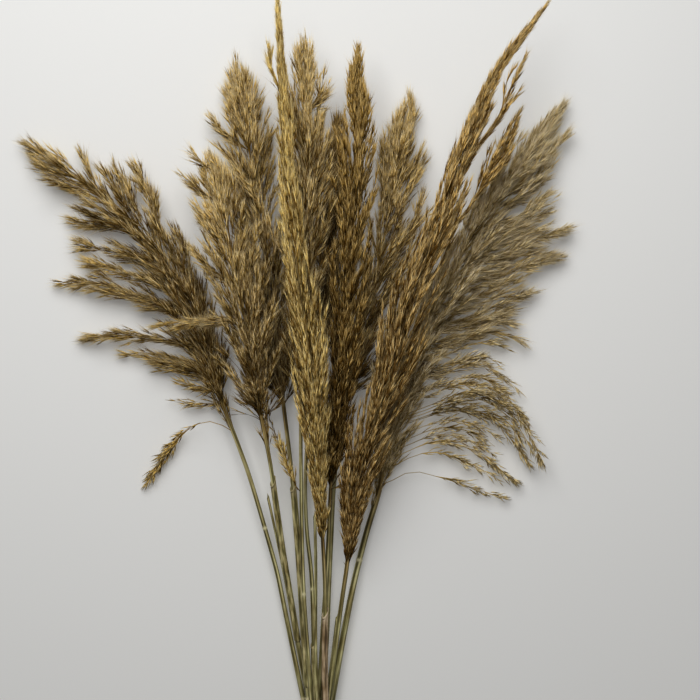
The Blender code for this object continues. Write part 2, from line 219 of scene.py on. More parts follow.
class Strands:
    """Thin shapes gathered into one mesh, each point with its tone and its place along the strand."""

    def __init__(self):
        self.points = []
        self.faces = []
        self.maps = []
        self.count = 0

    def add(self, points, faces, tones, along):
        """points is shapes x corners x 3, faces lists the corners of each triangle of one shape."""
        shapes, corners = points.shape[:2]
        starts = self.count + np.arange(shapes)[:, None, None] * corners
        self.points.append(points.reshape(-1, 3))
        self.faces.append((starts + np.array(faces)[None]).reshape(-1, 3))
        self.maps.append(np.stack([tones, np.broadcast_to(along, tones.shape)], axis=-1).reshape(-1, 2))
        self.count += shapes * corners

    def piece(self, name, material, nodes, slot):
        """Make the mesh object that stands for these CAD nodes."""
        points = np.concatenate(self.points)
        faces = np.concatenate(self.faces)
        places = np.clip(np.concatenate(self.maps), 0.002, 0.998)
        depth = FLOOR_CLEARANCE - points[:, 2]
        points[:, 2] = np.where(depth > 0, FLOOR_CLEARANCE + FLOOR_RISE * depth, points[:, 2])
        mesh = bpy.data.meshes.new(name)
        mesh.vertices.add(len(points))
        mesh.vertices.foreach_set("co", points.astype(np.float32).ravel())
        mesh.loops.add(faces.size)
        mesh.loops.foreach_set("vertex_index", faces.astype(np.int32).ravel())
        mesh.polygons.add(len(faces))
        mesh.polygons.foreach_set("loop_start", np.arange(0, faces.size, 3, dtype=np.int32))
        mesh.update(calc_edges=True)
        layer = mesh.uv_layers.new(name="OFBake")
        layer.uv.foreach_set("vector", places[faces.ravel()].astype(np.float32).ravel())
        mesh.shade_smooth()
        mesh.validate()
        add_piece(name, mesh, material, nodes)


def add_piece(name, mesh, material, nodes):
    """Put a mesh on the bundle's one body, to stand for these CAD nodes, with its material."""
    piece = bpy.data.objects.new(name, mesh)
    bpy.context.scene.collection.objects.link(piece)
    mesh.materials.append(material)
    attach(piece, "root")
    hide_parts(*nodes)


def sideways_of(directions, rng):
    """Two unit vectors across each direction, turned at random about it."""
    helper = unit(rng.normal(size=directions.shape))
    first = unit(np.cross(directions, helper))
    return first, np.cross(directions, first)


def add_husks(strands, bases, tips, widths, tones, rng):
    """Spikelets: long three-sided spindles, thickest a little below the middle."""
    first, second = sideways_of(unit(tips - bases), rng)
    middle = bases + BELLY * (tips - bases)
    corners = [bases]
    for turn in range(3):
        angle = math.tau * turn / 3
        corners.append(middle + (first * math.cos(angle) + second * math.sin(angle)) * widths[:, None] / 2)
    corners.append(tips)
    points = np.stack(corners, axis=1)
    spread = CORNER_TONE * np.array([0, -1, 0, 1, 0])
    faces = [(0, 2, 1), (0, 3, 2), (0, 1, 3), (4, 1, 2), (4, 2, 3), (4, 3, 1)]
    strands.add(points, faces, tones[:, None] + spread, np.array([0.25, 0.55, 0.55, 0.55, 0.95]))


def add_hairs(strands, bases, tips, widths, tones, rng):
    """Silky hairs: single slender triangles."""
    first, _ = sideways_of(unit(tips - bases), rng)
    half = first * widths[:, None] / 2
    points = np.stack([bases - half, bases + half, tips], axis=1)
    spread = CORNER_TONE * np.array([-1, 1, 0])
    strands.add(points, [(0, 1, 2)], tones[:, None] + spread, np.array([0.5, 0.5, 1.0]))


def add_stalks(strands, paths, radii, tones):
    """Thin three-sided stalks along paths (stalks x points x 3), with a radius for each point."""
    count, steps = paths.shape[:2]
    tangents = unit(np.gradient(paths, axis=1))
    first = unit(np.cross(tangents, [0.31, 0.17, 0.94]))
    second = np.cross(tangents, first)
    rings = []
    for turn in range(3):
        angle = math.tau * turn / 3
        rings.append(paths + (first * math.cos(angle) + second * math.sin(angle)) * radii[..., None])
    points = np.stack(rings, axis=2).reshape(count, steps * 3, 3)
    faces = []
    for step in range(steps - 1):
        for turn in range(3):
            here = 3 * step + turn
            beside = 3 * step + (turn + 1) % 3
            faces.append((here, beside, beside + 3))
            faces.append((here, beside + 3, here + 3))
    # stalks take the dark lower end of the colours: partly their own colour, partly painted shade inside
    # the plume
    along = np.repeat(np.linspace(0.02, 0.35, steps), 3)
    spread = CORNER_TONE * np.tile([-1, 0, 1], steps)
    strands.add(points, faces, tones[:, None] + spread, along)


# ---------------------------------------------------------------- plumes

BRANCH_POINTS = 10            # points along each branch of a plume
BRANCH_SWAY = 0.10            # how far branches sway sideways, as a share of the plume's half width
SHORTEST_BRANCH = 0.004
FOOTING_REACH = 0.25          # the footing's branches end within this share of the line
BRANCH_RADII = (0.00042, 0.00014)    # a branch's radius at its root and at its tip
TWIG_RADIUS = 0.00010
HAIR_WIDTH = 0.00016
BRANCH_TONES = 0.17           # how much tones differ from branch to branch, and so on
TWIG_TONES = 0.25
HUSK_TONES = 0.12
HAIR_TONES = 0.22
HAIR_PALENESS = 0.12          # hairs are this much paler than their spikelet
ODD_TONES = (-0.40, 0.0, 0.50)       # tone added to the darkest, the usual and the palest spikelets
ODD_SHARES = (0.27, 0.51, 0.22)      # and the share of each


@dataclass
class Habit:
    """How a plume or side branch grows."""
    branches: float            # branches for each metre of rachis
    branch_length: float       # longest branch
    tip_share: float           # how long a branch at the tip is, as a share of that
    reach: float               # how far the branches stand out, as a share of the solid's half width
    beyond: float              # length added to the solid's half width and half height
    splay: float               # above 1 the branches leave along the rachis and bend outwards later
    bare: float                # share of a branch, at its root, that is a bare stalk
    branchlets: float          # branchlets for each metre of branch
    branchlet_length: float
    branchlet_lean: float      # angle from the branch
    husks: float               # spikelets for each metre of branchlet
    husk_length: float
    husk_width: float
    husk_lean: float           # angle from the branchlet
    hairs: int                 # hairs on each spikelet
    hair_length: float
    hair_lean: float           # angle from the spikelet
    tone: float                # 0 dark, 1 pale
    clear: float = 0.0         # share of a side branch, from its root, that is a bare stalk
    footing: float = 0.0       # share of extra branches that all end near the root
    fade: float = 0.30         # how much paler the tip is than the root
    slender: float = 0.0       # how much the upper half narrows
    waist: float = 0.0         # how much the lowest third narrows
    skirt: float = 0.0         # length added to the half width towards the root


FLUFFY = Habit(branches=400, branch_length=0.105, tip_share=0.45, reach=1.12, beyond=0.004, splay=1.45,
               bare=0.20, branchlets=415, branchlet_length=0.023, branchlet_lean=0.27, husks=285,
               husk_length=0.0115, husk_width=0.00082, husk_lean=0.13, hairs=3, hair_length=0.0125,
               hair_lean=0.16, tone=0.36)
CLOSED = replace(FLUFFY, branches=400, branch_length=0.115, tip_share=0.5, reach=1.05, beyond=0.002,
                 splay=0.8, branchlets=400, branchlet_length=0.018, branchlet_lean=0.12, husks=235,
                 husk_length=0.0115, husk_width=0.00100, husk_lean=0.10, hairs=2, hair_length=0.0125,
                 hair_lean=0.12, bare=0.10, tone=0.40, footing=0.08)
SPRIG = replace(FLUFFY, branches=170, branch_length=0.045, reach=0.75, beyond=0.0, splay=1.2, bare=0.10,
                branchlet_length=0.015, branchlet_lean=0.32, husk_length=0.0100, hairs=3, tone=0.50)
PALE_SPRIG = replace(SPRIG, tone=0.68)
WISPY = replace(SPRIG, branches=110, branchlets=300, branchlet_length=0.013, branchlet_lean=0.42, husks=240,
                husk_width=0.00095, husk_lean=0.22, hairs=2, hair_length=0.009, tone=0.70)
LOOSE = replace(WISPY, branches=45, branchlets=210, husk_width=0.00115, hairs=1, clear=0.30)
STRAND = replace(CLOSED, branches=90, branch_length=0.060, reach=0.5, beyond=0.0, branchlet_length=0.012)
NECK = replace(FLUFFY, branches=260, branch_length=0.060, tip_share=0.9, reach=1.0, beyond=0.0, splay=1.0,
               bare=0.55, branchlets=260, branchlet_length=0.010, husks=260, husk_width=0.00075, hairs=1,
               tone=0.45)


def branch_spans(line, habit, rng, has_axis):
    """Where each branch starts and ends along the line, how far out it reaches and how far up it ends."""
    count = max(4, int(habit.branches * line.length))
    ends = line.length * (1 - (0.96 - habit.clear) * rng.random(count) ** 1.1)
    ends[:int(habit.footing * count)] *= FOOTING_REACH
    share = ends / line.length
    lengths = habit.branch_length * (1 + (habit.tip_share - 1) * share) * rng.uniform(0.75, 1.1, count)
    lengths = np.minimum(lengths, ends - 0.6 * habit.clear * line.length)
    reach = habit.reach * np.sqrt(rng.uniform(0.03, 1, count))
    if has_axis:
        ends[0], lengths[0], reach[0] = line.length, line.length, 0.0
    return np.maximum(ends - lengths, 0), ends, reach, share


def room_along(line, habit, places):
    """Half widths and half heights of the room that branches have at these places along the line."""
    part = places / line.length
    margin = habit.beyond * np.clip(6 * (1 - part), 0, 1)                # fades out in the last sixth
    narrowing = 1 - habit.slender * np.clip(2.5 * part - 1.2, 0, 1)      # of the upper half
    narrowing -= habit.waist * np.clip(1 - 3.2 * part, 0, 1)             # of the lowest third
    spread = habit.skirt * np.sin(math.pi * np.clip(1.3 * part, 0, 1))   # of the lower three quarters
    widths = line.sample(line.widths, places) * narrowing + margin + spread
    heights = line.sample(line.heights, places) * narrowing + margin
    return widths, heights


def branch_paths(line, habit, rng, has_axis):
    """Paths of a plume's branches (branches x points x 3), their lengths and how far up they end."""
    roots, ends, reach, share = branch_spans(line, habit, rng, has_axis)
    turns = rng.uniform(0, math.tau, len(roots))
    steps = np.linspace(0, 1, BRANCH_POINTS)
    places = roots[:, None] + (ends - roots)[:, None] * steps
    widths, heights = room_along(line, habit, places)
    growth = reach[:, None] * steps ** habit.splay
    swaying = rng.normal(size=(len(roots), 1)) * (reach[:, None] > 0)
    sway = BRANCH_SWAY * np.sin(steps * math.pi)[None] * swaying
    sideways = (np.cos(turns)[:, None] * growth + sway)[..., None] * line.sample(line.across, places)
    lift = (np.sin(turns)[:, None] * growth)[..., None] * line.sample(line.upwards, places)
    paths = line.sample(line.points, places) + sideways * widths[..., None] + lift * heights[..., None]
    return paths, np.maximum(ends - roots, SHORTEST_BRANCH), share


def along_paths(values, chosen, shares):
    """Values of the chosen paths at these shares of their length."""
    position = shares * (values.shape[1] - 1)
    before = np.minimum(position.astype(int), values.shape[1] - 2)
    part = (position - before)[:, None]
    return values[chosen, before] * (1 - part) + values[chosen, before + 1] * part


def leaning(directions, angles, rng):
    """Directions turned away by these angles, to random sides."""
    aside, _ = sideways_of(directions, rng)
    return unit(directions * np.cos(angles)[:, None] + aside * np.sin(angles)[:, None])


def grow_branchlets(paths, lengths, habit, rng, branch_tones):
    """Branchlets along the branches, shorter towards each branch's tip: paths, lengths and tones, the tones
    with painted shade deep inside the plume.
    """
    tangents = unit(np.gradient(paths, axis=1))
    count = int(habit.branchlets * (1 - habit.bare) * lengths.sum())
    chosen = rng.choice(len(paths), count, p=lengths / lengths.sum())
    along = rng.random(count)
    shares = habit.bare + (1 - habit.bare) * along
    shares = np.where(chosen == 0, habit.clear + (1 - habit.clear) * along, shares)
    roots = along_paths(paths, chosen, shares)
    ahead = unit(along_paths(tangents, chosen, shares))
    size = habit.branchlet_length * (1 - 0.72 * along) * rng.uniform(0.6, 1.15, count)
    size *= np.clip(0.45 + 3 * along, 0, 1)              # the first few are short too
    towards = leaning(ahead, habit.branchlet_lean * rng.uniform(0.4, 1.25, count), rng)
    middle = roots + towards * (0.55 * size)[:, None]
    tips = middle + unit(towards + 0.8 * ahead) * (0.45 * size)[:, None]
    # branchlets near a branch's root, deep inside the plume, are darker and the outer ones paler: painted
    # shade of the plume's inside
    tones = branch_tones[chosen] + 0.30 * (shares - 0.55) + rng.normal(0, TWIG_TONES, count)
    return np.stack([roots, middle, tips], axis=1), size, np.clip(tones, 0.03, 0.97)


def grow(line, habit, rng, stems, husks, hairs, has_axis=False):
    """Grow a plume or sprig along a line: its stalks, spikelets and hairs go into the three gatherings."""
    paths, lengths, height = branch_paths(line, habit, rng, has_axis)
    branch_tones = habit.tone + 2 * habit.fade * (height - 0.55) + rng.normal(0, BRANCH_TONES, len(paths))
    branch_tones = np.clip(branch_tones, 0.05, 0.95)
    radii = np.linspace(*BRANCH_RADII, BRANCH_POINTS)
    add_stalks(stems, paths, np.broadcast_to(radii, paths.shape[:2]), branch_tones)
    twigs, sizes, twig_tones = grow_branchlets(paths, lengths, habit, rng, branch_tones)
    add_stalks(stems, twigs, np.full((len(twigs), 3), TWIG_RADIUS), twig_tones)
    bases, tips, tones = grow_husks(twigs, sizes, habit, rng, twig_tones, husks)
    grow_hairs(bases, tips, habit, rng, tones, hairs)


def grow_husks(twigs, sizes, habit, rng, twig_tones, husks):
    """Spikelets along the branchlets, one near each branchlet's tip: their ends and tones."""
    count = int(habit.husks * sizes.sum()) + len(twigs)
    owners = np.concatenate([np.arange(len(twigs)),
                             rng.choice(len(twigs), count - len(twigs), p=sizes / sizes.sum())])
    rise = np.concatenate([np.full(len(twigs), 0.96), rng.uniform(0.12, 0.96, count - len(twigs))])
    bases = along_paths(twigs, owners, rise)
    aim = unit(along_paths(unit(np.gradient(twigs, axis=1)), owners, rise))
    heading = leaning(aim, np.abs(rng.normal(habit.husk_lean, 0.45 * habit.husk_lean, count)), rng)
    tips = bases + heading * (habit.husk_length * rng.uniform(0.6, 1.2, count))[:, None]
    odd_ones = rng.choice(ODD_TONES, count, p=ODD_SHARES)
    tones = np.clip(twig_tones[owners] + rng.normal(0, HUSK_TONES, count) + odd_ones, 0.02, 0.98)
    add_husks(husks, bases, tips, habit.husk_width * rng.uniform(0.7, 1.2, count), tones, rng)
    return bases, tips, tones


def grow_hairs(bases, tips, habit, rng, tones, hairs):
    """Hairs on the spikelets that run from these bases to these tips."""
    bearers = np.repeat(np.arange(len(bases)), habit.hairs)
    starts = bases[bearers] + (tips - bases)[bearers] * rng.uniform(0.0, 0.7, len(bearers))[:, None]
    angles = np.abs(rng.normal(habit.hair_lean, 0.5 * habit.hair_lean, len(bearers)))
    strand = leaning(unit(tips - bases)[bearers], angles, rng)
    hair_tips = starts + strand * (habit.hair_length * rng.uniform(0.6, 1.2, len(bearers)))[:, None]
    hair_tones = np.clip(tones[bearers] + rng.normal(HAIR_PALENESS, HAIR_TONES, len(bearers)), 0.02, 0.98)
    add_hairs(hairs, starts, hair_tips, np.full(len(bearers), HAIR_WIDTH), hair_tones, rng)


# ---------------------------------------------------------------- materials

WHITE = (1.0, 1.0, 1.0)
MOTTLE_SHADE = (0.78, 0.76, 0.74)    # the dark mottles on strands multiply their colour by this
PATCH_SHADE = (0.62, 0.56, 0.46)     # and old patches on a culm its colour by this
NECK_SHADE = (0.72, 0.58, 0.44)      # and the brown of a culm below its plume by this


def new_material(name):
    """A new node material, with its nodes and links."""
    material = bpy.data.materials.new(name)
    material.use_nodes = True
    return material, material.node_tree.nodes, material.node_tree.links


def strand_map(nodes):
    """The map of strands and tubes: tone or turn across, and place from root to tip."""
    node = nodes.new("ShaderNodeUVMap")
    node.uv_map = "OFBake"
    return node.outputs["UV"]


def stored(nodes, name):
    """A value stored at a mesh's points."""
    node = nodes.new("ShaderNodeAttribute")
    node.attribute_name = name
    return node.outputs["Fac"]


def noise(nodes, links, vector, scale, detail):
    """Noise over a vector socket."""
    node = nodes.new("ShaderNodeTexNoise")
    node.inputs["Scale"].default_value = scale
    node.inputs["Detail"].default_value = detail
    links.new(vector, node.inputs["Vector"])
    return node.outputs["Fac"]


def ramp(nodes, links, factor, stops):
    """The colour that a factor socket reads from (place, colour) stops."""
    node = nodes.new("ShaderNodeValToRGB")
    while len(node.color_ramp.elements) < len(stops):
        node.color_ramp.elements.new(0.5)
    for element, (place, colour) in zip(node.color_ramp.elements, stops):
        element.position = place
        element.color = (*colour, 1)
    links.new(factor, node.inputs["Fac"])
    return node.outputs["Color"]


def mixed(nodes, links, factor, first, second, blend="MIX"):
    """The colour of two sockets mixed by a factor, a socket or a number."""
    node = nodes.new("ShaderNodeMix")
    node.data_type = "RGBA"
    node.blend_type = blend
    if isinstance(factor, float):
        node.inputs["Factor"].default_value = factor
    else:
        links.new(factor, node.inputs["Factor"])
    links.new(first, node.inputs[6])
    links.new(second, node.inputs[7])
    return node.outputs[2]


def strand_material(name, dark, pale, roughness=0.65):
    """Dry strands: dark and pale colours from root to tip, mixed by each strand's tone. The darker roots
    are partly the straw's own colour and partly painted shade in the recesses of the tufts.
    """
    material, nodes, links = new_material(name)
    shader = nodes["Principled BSDF"]
    places = strand_map(nodes)
    split = nodes.new("ShaderNodeSeparateXYZ")
    links.new(places, split.inputs[0])
    dark_colour = ramp(nodes, links, split.outputs["Y"], dark)
    pale_colour = ramp(nodes, links, split.outputs["Y"], pale)
    both = mixed(nodes, links, split.outputs["X"], dark_colour, pale_colour)
    mottle = noise(nodes, links, places, scale=23.0, detail=2.0)
    shade = ramp(nodes, links, mottle, [(0.30, MOTTLE_SHADE), (0.70, WHITE)])
    links.new(mixed(nodes, links, 1.0, both, shade, "MULTIPLY"), shader.inputs["Base Color"])
    shader.inputs["Roughness"].default_value = roughness
    shader.inputs["Specular IOR Level"].default_value = 0.0
    return material


# colours from root to tip; the dark roots are partly the straw's own colour and partly painted shade deep
# in the tufts
OLIVE_DARK = [(0.0, (0.021, 0.010, 0.001)), (0.5, (0.082, 0.039, 0.002)), (1.0, (0.28, 0.152, 0.014))]
OLIVE_PALE = [(0.0, (0.36, 0.205, 0.032)), (0.5, (1.00, 0.74, 0.250)), (1.0, (1.0, 0.94, 0.74))]
SILVER_DARK = [(0.0, (0.054, 0.030, 0.005)), (0.5, (0.185, 0.112, 0.022)), (1.0, (0.52, 0.360, 0.110))]
SILVER_PALE = [(0.0, (0.64, 0.45, 0.14)), (0.5, (1.0, 0.83, 0.44)), (1.0, (1.0, 0.95, 0.84))]
BROWN_DARK = [(0.0, (0.016, 0.007, 0.001)), (0.5, (0.055, 0.025, 0.002)), (1.0, (0.22, 0.118, 0.014))]
BROWN_PALE = [(0.0, (0.16, 0.090, 0.014)), (0.5, (0.62, 0.41, 0.105)), (1.0, (1.0, 0.82, 0.45))]
GOLD_DARK = [(0.0, (0.030, 0.013, 0.001)), (0.5, (0.115, 0.055, 0.004)), (1.0, (0.36, 0.200, 0.025))]
GOLD_PALE = [(0.0, (0.40, 0.235, 0.036)), (0.5, (1.00, 0.75, 0.240)), (1.0, (1.0, 0.93, 0.62))]
RED_DARK = [(0.0, (0.022, 0.009, 0.001)), (0.5, (0.085, 0.038, 0.003)), (1.0, (0.27, 0.140, 0.018))]
RED_PALE = [(0.0, (0.28, 0.16, 0.028)), (0.5, (0.92, 0.63, 0.205)), (1.0, (1.0, 0.90, 0.60))]


CULM_COLOURS = ((0.27, 0.25, 0.10), (0.74, 0.69, 0.40), (0.74, 0.69, 0.45))     # body, streaks, joints
SHEATH_COLOURS = ((0.30, 0.27, 0.11), (0.72, 0.65, 0.38), (0.58, 0.49, 0.29))
PINK_COLOURS = ((0.40, 0.30, 0.18), (0.76, 0.62, 0.45), (0.62, 0.53, 0.38))


def culm_material(name, base, streak, joint):
    """A dry, finely ribbed culm: streaks along it, old patches, pale joints and a browner neck."""
    material, nodes, links = new_material(name)
    shader = nodes["Principled BSDF"]
    stretch = nodes.new("ShaderNodeMapping")
    stretch.inputs["Scale"].default_value = (2.4, 3.0, 1.0)
    links.new(strand_map(nodes), stretch.inputs["Vector"])
    streaks = noise(nodes, links, stretch.outputs["Vector"], scale=3.0, detail=4.0)
    dark = tuple(0.42 * part for part in base)
    streaked = ramp(nodes, links, streaks, [(0.36, dark), (0.47, base), (0.60, streak)])
    spots = nodes.new("ShaderNodeTexCoord")
    patches = noise(nodes, links, spots.outputs["Object"], scale=45.0, detail=3.0)
    patched = ramp(nodes, links, patches, [(0.36, PATCH_SHADE), (0.62, WHITE)])
    mottled = mixed(nodes, links, 1.0, streaked, patched, "MULTIPLY")
    browning = ramp(nodes, links, stored(nodes, "neck"), [(0.0, WHITE), (1.0, NECK_SHADE)])
    browned = mixed(nodes, links, 1.0, mottled, browning, "MULTIPLY")
    dull_joint = tuple(0.9 * part for part in joint)
    joint_colour = ramp(nodes, links, patches, [(0.0, joint), (1.0, dull_joint)])
    coloured = mixed(nodes, links, stored(nodes, "mark"), browned, joint_colour)
    links.new(coloured, shader.inputs["Base Color"])
    shader.inputs["Roughness"].default_value = 0.42
    bump = nodes.new("ShaderNodeBump")
    bump.inputs["Strength"].default_value = 0.4
    bump.inputs["Distance"].default_value = 0.0003
    links.new(streaks, bump.inputs["Height"])
    links.new(bump.outputs["Normal"], shader.inputs["Normal"])
    return material


# ---------------------------------------------------------------- culms and sheaths

CULM_SIDES = 16
RIBS = 4                      # ribs round a culm
RIB_DEPTH = 0.02              # how far they stand out, as a share of its radius
RING_STEP = 0.004
SWOLLEN = 1.08                # a ring this much wider than its culm is at a joint
JOINT_REACH = 0.006           # rings this near to a joint belong to it
JOINT_SWELL = 0.10            # a joint's ring stands out by this share of the culm's radius
JOINT_LENGTH = 0.0014
JOINT_RINGS = (-2, -1.2, -0.7, -0.3, 0.3, 0.8, 1.4, 2.2)    # rings at a joint, in lengths of a joint
BUTT_SLANTS = (0.0012, 0.0008, 0.0)  # how far a culm's lowest rings slant, at its cut
BREAK_SLANTS = (0.0010, 0.0032)      # and the last rings of a broken one
BREAK_PINCH = 0.8             # radius of a broken culm's end against its own
NECK_BROWNING = 0.05          # how far below its plume a culm begins to turn brown
CULM_FULLNESS = 1.16          # radius of a culm against its plain solid's
RACHIS_THINNING = 0.88        # share of its radius that a culm loses inside its plume
HOLLOW = 0.55                 # radius of a culm's hole against its own
HOLLOW_DEPTH = 0.006
SHEATH_THICKNESS = 0.0009
SHEATH_SLANT = 0.0045         # how far a sheath's lip slants
SHEATH_TUCK = 0.002           # its lower edge turns in to the culm over this length
SHEATH_FOLD = 0.008           # and its lip folds back inside it over this one


def tube_mesh(name, line, places, radii, slants, attributes):
    """A ribbed tube along a line, through rings with these radii, slants of their plane and attributes."""
    angles = math.tau * np.arange(CULM_SIDES) / CULM_SIDES
    rib = 1 + RIB_DEPTH * np.cos(RIBS * angles)
    centres = line.sample(line.points, places)[:, None]
    across = line.sample(line.across, places)[:, None] * (np.cos(angles) * rib)[None, :, None]
    upwards = line.sample(line.upwards, places)[:, None] * (np.sin(angles) * rib)[None, :, None]
    tangents = line.sample(line.tangents, places)[:, None]
    lengthwise = tangents * (np.cos(angles + 0.7)[None] * slants[:, None])[..., None]
    points = centres + (across + upwards) * radii[:, None, None] + lengthwise
    points[..., 2] = np.maximum(points[..., 2], 0)
    run = np.concatenate([[0], np.cumsum(np.abs(np.diff(places)) + 0.0002)])
    faces, maps = tube_faces(angles, 0.01 + 0.98 * run / run[-1])
    mesh = bpy.data.meshes.new(name)
    mesh.from_pydata(points.reshape(-1, 3).tolist(), [], faces)
    layer = mesh.uv_layers.new(name="OFBake")
    layer.uv.foreach_set("vector", np.array(maps, np.float32).ravel())
    for kind, values in attributes.items():
        attribute = mesh.attributes.new(kind, "FLOAT", "POINT")
        attribute.data.foreach_set("value", np.repeat(values, CULM_SIDES).astype(np.float32))
    mesh.shade_smooth()
    return mesh


def tube_faces(angles, run):
    """A tube's faces and their map: the turn across, and run, the place of each ring, along it."""
    rows = len(run)
    faces = []
    maps = []
    for row in range(rows - 1):
        for side in range(CULM_SIDES):
            after = (side + 1) % CULM_SIDES
            faces.append((row * CULM_SIDES + side, row * CULM_SIDES + after,
                          (row + 1) * CULM_SIDES + after, (row + 1) * CULM_SIDES + side))
            left, right = side / CULM_SIDES, (side + 1) / CULM_SIDES
            maps += [(left, run[row]), (right, run[row]), (right, run[row + 1]), (left, run[row + 1])]
    faces.append(tuple(reversed(range(CULM_SIDES))))
    faces.append(tuple(range((rows - 1) * CULM_SIDES, rows * CULM_SIDES)))
    for end in (0.004, 0.996):
        maps += [((side + 0.5) / CULM_SIDES, end + 0.003 * math.sin(angle))
                 for side, angle in enumerate(angles)]
    return faces, maps


def joints_of(rows):
    """Places of a culm's joints, where its solid swells in pairs of rings, and the rows without them."""
    steps = np.linalg.norm(np.diff(rows[:, :3], axis=0), axis=1)
    places = np.concatenate([[0], np.cumsum(steps)])
    trend = rows[0, 3] + (rows[-1, 3] - rows[0, 3]) * places / places[-1]
    swollen = places[rows[:, 3] > SWOLLEN * trend]
    joints = [(first + second) / 2 for first, second in zip(swollen[::2], swollen[1::2])]
    near = [any(abs(place - joint) < JOINT_REACH for joint in joints) for place in places]
    return joints, rows[~np.array(near)]


def culm_rings(line, joints, butt_radius, neck_radius, neck_place):
    """Places, radii and marks of a culm's rings: fine ones at its joints, then thinning to a tip."""
    places = list(np.arange(0, line.length, RING_STEP))
    for joint in joints:
        places = [place for place in places if abs(place - joint) > 2.5 * JOINT_LENGTH]
        places += [joint + offset * JOINT_LENGTH for offset in JOINT_RINGS]
    places = np.array(sorted(places) + [line.length])
    radii = butt_radius + (neck_radius - butt_radius) * np.clip(places / neck_place, 0, 1)
    above = np.clip((places - neck_place) / max(line.length - neck_place, 1e-6), 0, 1)
    radii = CULM_FULLNESS * radii * (1 - RACHIS_THINNING * above ** 0.8)
    marks = np.zeros(len(places))
    for joint in joints:
        offset = (places - joint) / JOINT_LENGTH
        radii *= 1 + JOINT_SWELL * np.exp(-offset ** 2) - 0.06 * np.exp(-(offset - 1.4) ** 2 / 0.2)
        marks = np.maximum(marks, np.exp(-(offset + 0.2) ** 2 / 1.2))
    return places, radii, marks


def build_culm(node, rows, material, plume_rows=None):
    """A culm with its joints and cut, hollow end, going on as the rachis inside its plume."""
    joints, plain = joints_of(rows)
    neck_place = np.linalg.norm(np.diff(rows[:, :3], axis=0), axis=1).sum()
    if plume_rows is not None:
        plain = np.vstack([plain, plume_rows[1:]])
    line = Line(plain)
    places, radii, marks = culm_rings(line, joints, rows[0, 3], rows[-1, 3], neck_place)
    slants = np.zeros(len(places))
    slants[:3] = BUTT_SLANTS
    if plume_rows is None:
        slants[-2:] = BREAK_SLANTS
        radii[-1] *= BREAK_PINCH
    places = np.concatenate([[HOLLOW_DEPTH, 0.0], places])
    radii = np.concatenate([[HOLLOW * radii[0], HOLLOW * radii[0]], radii])
    marks = np.concatenate([[0, 0], marks])
    slants = np.concatenate([[0, BUTT_SLANTS[0]], slants])
    browning = np.clip((places - neck_place) / NECK_BROWNING + 1, 0, 1) * (plume_rows is not None)
    mesh = tube_mesh(f"{node}_ribbed", line, places, radii, slants, {"mark": marks, "neck": browning})
    add_piece(f"{node}_ribbed", mesh, material, [node])
    return line


def build_sheath(node, culm, culm_rows, material):
    """A papery leaf sheath round a culm, with a slanting lip at its upper end."""
    low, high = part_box(node)
    start, end = np.interp([low[1], high[1]], culm.points[:, 1], culm.places)
    neck_place = np.interp(culm_rows[-1, 1], culm.points[:, 1], culm.places)
    thinning = (culm_rows[-1, 3] - culm_rows[0, 3]) / neck_place
    up = np.arange(start, end, RING_STEP)
    places = np.concatenate([[start - SHEATH_TUCK], up, [end, end, end - SHEATH_FOLD]])
    inner = CULM_FULLNESS * (culm_rows[0, 3] + thinning * places)
    radii = inner + SHEATH_THICKNESS
    radii[0] = inner[0] * 0.97
    radii[-3:] += 0.0003, 0.0001, -0.0002
    slants = SHEATH_SLANT * np.clip((places - end) / 0.020 + 1, 0, 1) ** 2
    slants[-1] = slants[-2]
    marks = np.clip((places - end) / 0.010 + 1, 0, 1) * 0.7
    mesh = tube_mesh(f"{node}_papery", culm, places, radii, slants, {"mark": marks, "neck": 0 * marks})
    add_piece(f"{node}_papery", mesh, material, [node])


# ---------------------------------------------------------------- the bundle

STALKS = {
    "far_left": replace(FLUFFY, beyond=0.007, tone=0.30, fade=0.44),
    "left_behind": replace(FLUFFY, beyond=0.009, tone=0.50, fade=0.38),
    "left": replace(FLUFFY, beyond=0.006, tone=0.47, fade=0.44),
    "front": replace(CLOSED, slender=0.75, waist=0.60, tone=0.56, fade=0.16),
    "middle_left": replace(FLUFFY, beyond=0.008, tone=0.47, fade=0.50),
    "middle_back": replace(FLUFFY, tone=0.26),
    "middle": replace(CLOSED, branches=360, tip_share=0.6, beyond=0.008, tone=0.34, fade=0.65, splay=1.1,
                      branchlet_lean=0.20, husk_lean=0.15),
    "middle_right": replace(FLUFFY, beyond=0.007, skirt=0.014, tone=0.50, fade=0.52),
    "right_front": replace(CLOSED, branches=480, footing=0.20, slender=0.62, tone=0.46, fade=0.34),
    "far_right": replace(FLUFFY, tip_share=0.6, beyond=0.007, tone=0.76, fade=0.24),
}
LOOSE_NECKS = ("far_left", "left_behind", "middle_right", "far_right")   # with stray strands there
NECK_SPAN = (-0.035, 0.075)   # they grow from below the top of the culm to inside the plume
NECK_WIDTHS = (0.003, 0.014)  # half widths of their room at its two ends
NECK_FLATNESS = 0.7           # its height against its width
FINE_LOOSE = replace(LOOSE, branches=80, branchlets=260)
